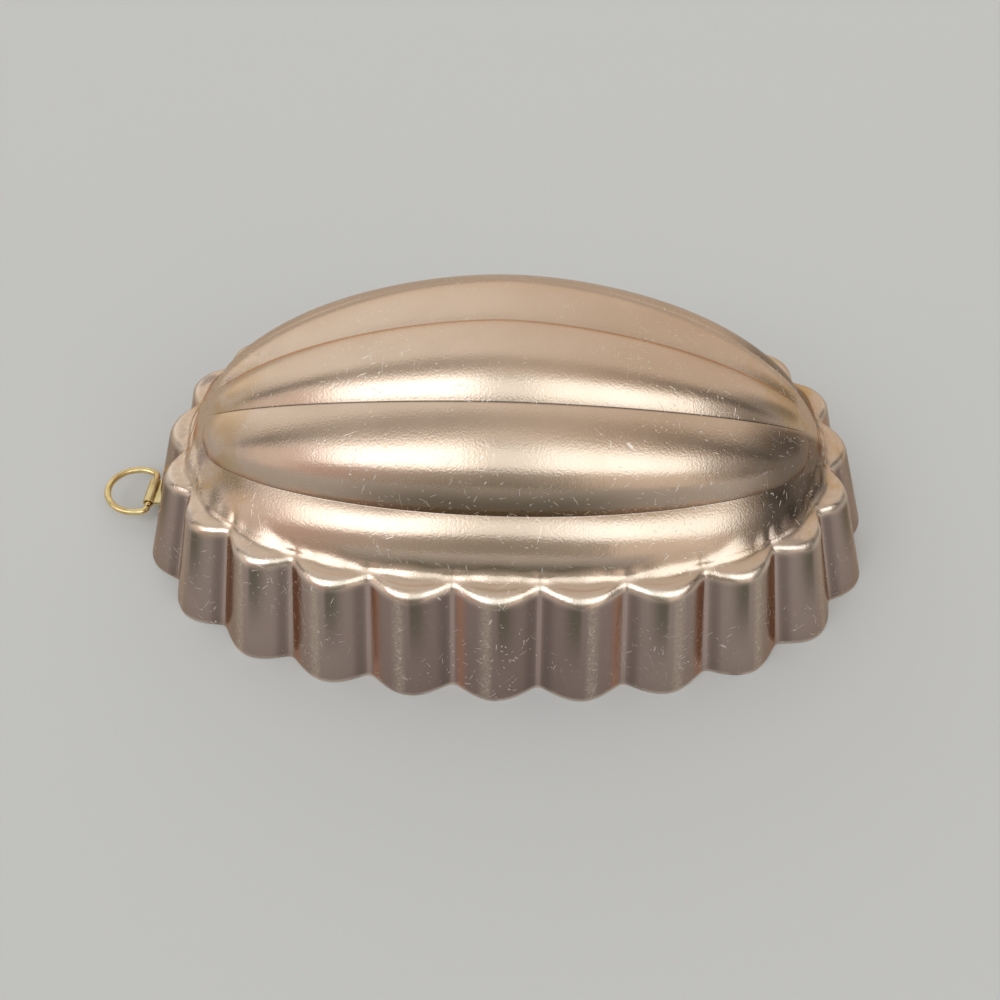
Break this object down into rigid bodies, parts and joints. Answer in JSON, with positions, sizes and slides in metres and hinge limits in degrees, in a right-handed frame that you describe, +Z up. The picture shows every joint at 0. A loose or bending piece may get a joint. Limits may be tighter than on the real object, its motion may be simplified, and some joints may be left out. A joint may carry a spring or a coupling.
{
  "type": "jelly mould",
  "caption": "Oval jelly mould of drawn sheet metal: a lobed melon-shaped dome on a fluted skirt, with a wire ring at one end to hang it by.",
  "frame": {"origin": "bottom centre of the whole part's box, hanging ring included; z = 0 is the plane of the rim that the mould rests on", "axes": "+X along the mould's long axis, away from the hanging ring; +Z up from the rim to the crest of the dome; +Y across, towards the back as pictured"},
  "size_m": [0.214, 0.128, 0.07],
  "materials": {
    "copper_tone_aluminium": "rose-champagne anodised sheet, satin, with fine random scratches, brighter on the worn shoulders of the flutes and browner in the valleys",
    "dull_brass": "dull rolled brass strip",
    "bright_brass": "bright drawn brass wire, slightly tarnished"
  },
  "bodies": {
    "mould": {"mould_shell": "copper_tone_aluminium", "hanger_strap": "dull_brass"},
    "ring": {"hanging_ring": "bright_brass"}
  },
  "joints": [
    {"name": "ring_swing", "type": "hinge", "parent": "mould", "child": "ring", "pos_m": [-0.09391, -0.0021, 0.0044], "axis": [0, 1, 0], "range_deg": [-110, 105]}
  ]
}
